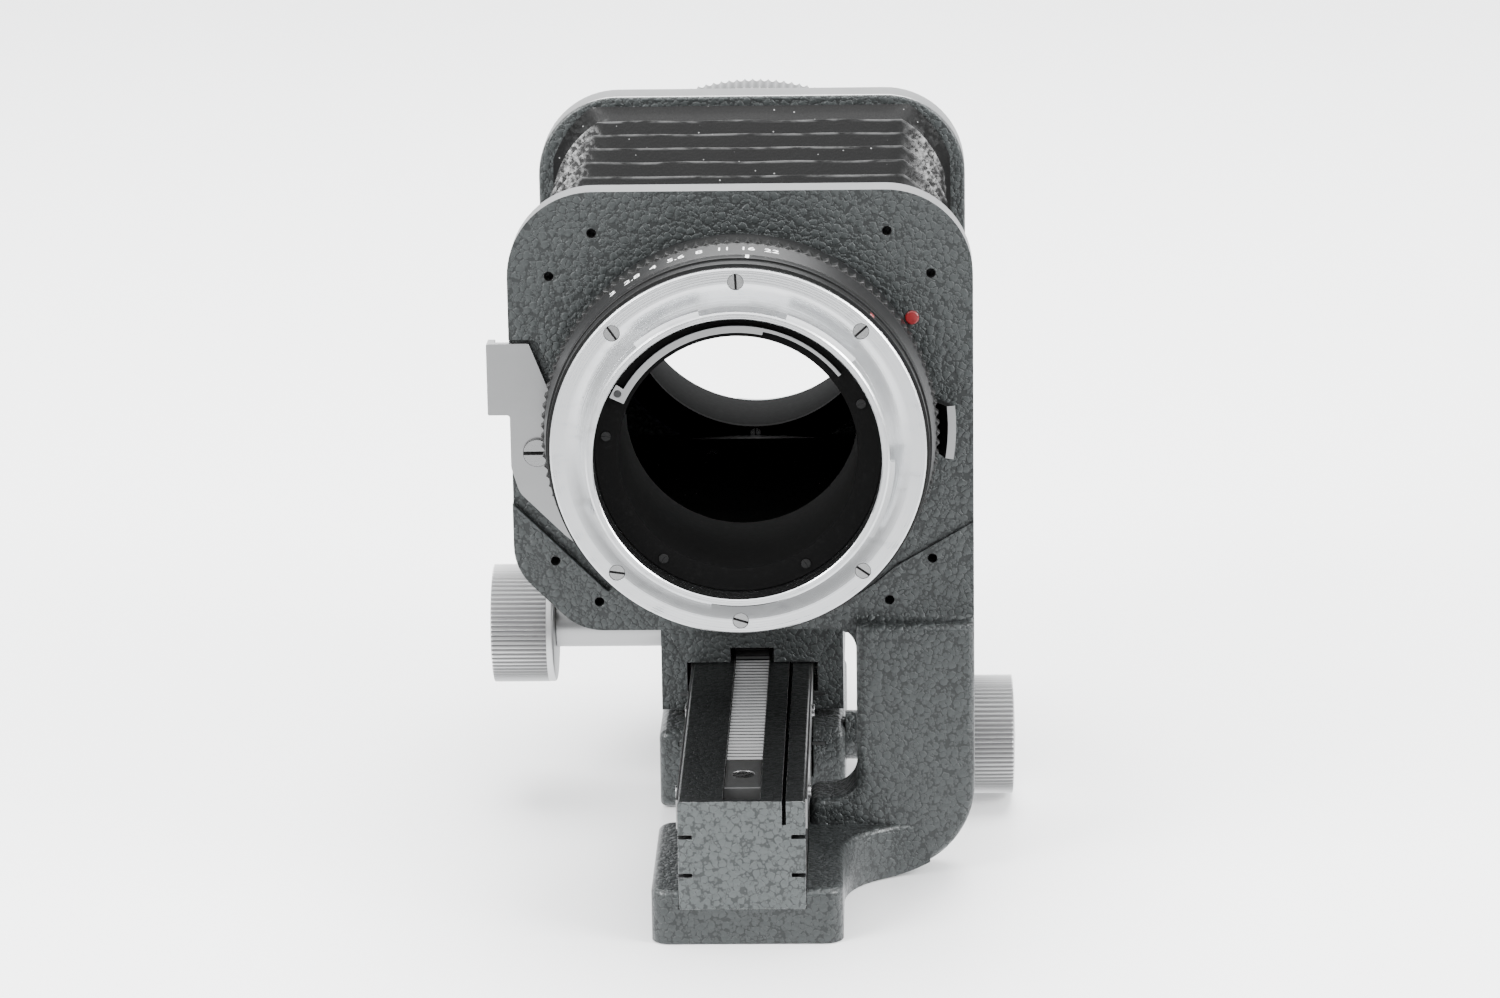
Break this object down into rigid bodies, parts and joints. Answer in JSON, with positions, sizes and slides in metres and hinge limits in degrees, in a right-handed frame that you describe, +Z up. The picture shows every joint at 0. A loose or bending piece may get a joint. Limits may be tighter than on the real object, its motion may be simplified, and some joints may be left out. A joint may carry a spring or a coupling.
{
  "type": "macro bellows unit",
  "caption": "Macro bellows for a reflex camera: a plate with a male bayonet and aperture ring, a pleated bellows, a sliding lens plate, a rack rail and a tripod carriage.",
  "frame": {"origin": "centre of the tripod socket's mouth, in the base face of the tripod carriage", "axes": "+Y along the rail and the optical axis, from the camera side to the lens side; +Z up; +X to the right seen from the camera side"},
  "size_m": [0.0964, 0.192, 0.1225],
  "materials": {
    "casting": "hammertone",
    "satin_steel": "satin",
    "red_enamel": "gloss",
    "anodised_black": "satin",
    "steel": "satin",
    "chrome": "gloss",
    "bellows_cloth": "satin",
    "brass": "satin",
    "satin_aluminium": "satin",
    "nylon": "matte"
  },
  "bodies": {
    "base": {"camera_standard": "casting", "lever_pivot_screw": "satin_steel", "alignment_dot": "red_enamel", "rail": "anodised_black", "rack": "steel", "rack_screws": "steel", "scale_strip_left": "anodised_black", "scale_strip_right": "anodised_black", "strip_screws": "satin_steel", "foot_screws": "steel", "rail_stop_plate": "anodised_black", "stop_plate_screws": "steel", "mount_barrel": "anodised_black", "camera_bayonet": "chrome", "camera_bayonet_screws": "chrome", "index_ring": "anodised_black", "light_baffle": "anodised_black", "baffle_screws": "anodised_black", "barrel_screws": "steel", "bellows": "bellows_cloth", "bellows_front_frame": "anodised_black", "front_frame_screws": "steel"},
    "release_lever_body": {"release_lever": "satin_steel"},
    "release_tab_body": {"release_tab_ring": "anodised_black"},
    "aperture_body": {"aperture_ring": "anodised_black", "aperture_key": "steel", "diaphragm_drive_pin": "steel", "diaphragm_drive_ring": "satin_steel"},
    "lens_carriage": {"lens_standard": "casting", "upper_guide_keys": "steel", "shaft_sleeve": "satin_steel", "shaft_bush": "brass", "bellows_rear_frame": "anodised_black", "rear_frame_screws": "steel"},
    "focus_drive": {"pinion": "steel", "drive_shaft": "steel", "focus_knob": "satin_aluminium"},
    "lens_mount_body": {"lens_mount_ring": "satin_aluminium", "mount_retainer": "steel", "retainer_screws": "steel", "lens_bayonet": "chrome", "lens_bayonet_screws": "chrome"},
    "tripod_body": {"tripod_carriage": "casting", "lower_guide_keys": "steel", "tripod_bush": "steel", "clamp_sleeve": "casting"},
    "clamp_pad_body": {"clamp_pad": "nylon"},
    "clamp_drive": {"clamp_shaft": "steel", "clamp_knob": "satin_aluminium"}
  },
  "joints": [
    {"name": "lens_standard_slide", "type": "slide", "parent": "base", "child": "lens_carriage", "axis": [0, 1, 0], "range_m": [-0.029, 0.05], "deforming": ["bellows"]},
    {"name": "focus_knob_turn", "type": "hinge", "parent": "lens_carriage", "child": "focus_drive", "pos_m": [0, -0.008, 0.03116], "axis": [-1, 0, 0], "range_deg": [-249, 428]},
    {"name": "lens_mount_turn", "type": "hinge", "parent": "lens_carriage", "child": "lens_mount_body", "pos_m": [0, 0.04, 0.0824], "axis": [0, 1, 0], "continuous": true},
    {"name": "tripod_carriage_slide", "type": "slide", "parent": "base", "child": "tripod_body", "axis": [0, 1, 0], "range_m": [-0.0235, 0.065]},
    {"name": "clamp_pad_travel", "type": "slide", "parent": "tripod_body", "child": "clamp_pad_body", "axis": [1, 0, 0], "range_m": [0, 0.0003]},
    {"name": "clamp_knob_turn", "type": "hinge", "parent": "clamp_pad_body", "child": "clamp_drive", "pos_m": [0, -0.0152, 0.0114], "axis": [1, 0, 0], "range_deg": [-1, 137]},
    {"name": "aperture_ring_turn", "type": "hinge", "parent": "base", "child": "aperture_body", "pos_m": [0, -0.069, 0.0824], "axis": [0, 1, 0], "range_deg": [-7.15, 42.9]},
    {"name": "release_lever_turn", "type": "hinge", "parent": "base", "child": "release_lever_body", "pos_m": [-0.0355, -0.0557, 0.0766], "axis": [0, -1, 0], "range_deg": [0, 8], "stiffness_Nm_per_rad": 0.03, "springref_deg": -11.46},
    {"name": "release_tab_turn", "type": "hinge", "parent": "base", "child": "release_tab_body", "pos_m": [0, -0.058, 0.0824], "axis": [0, 1, 0], "range_deg": [0, 8], "stiffness_Nm_per_rad": 0.12, "springref_deg": -11.46}
  ],
  "couplings": [
    {"joint": "focus_knob_turn", "follows": "lens_standard_slide", "rad_per_m": 148.81},
    {"joint": "clamp_knob_turn", "follows": "clamp_pad_travel", "rad_per_m": 7854}
  ]
}
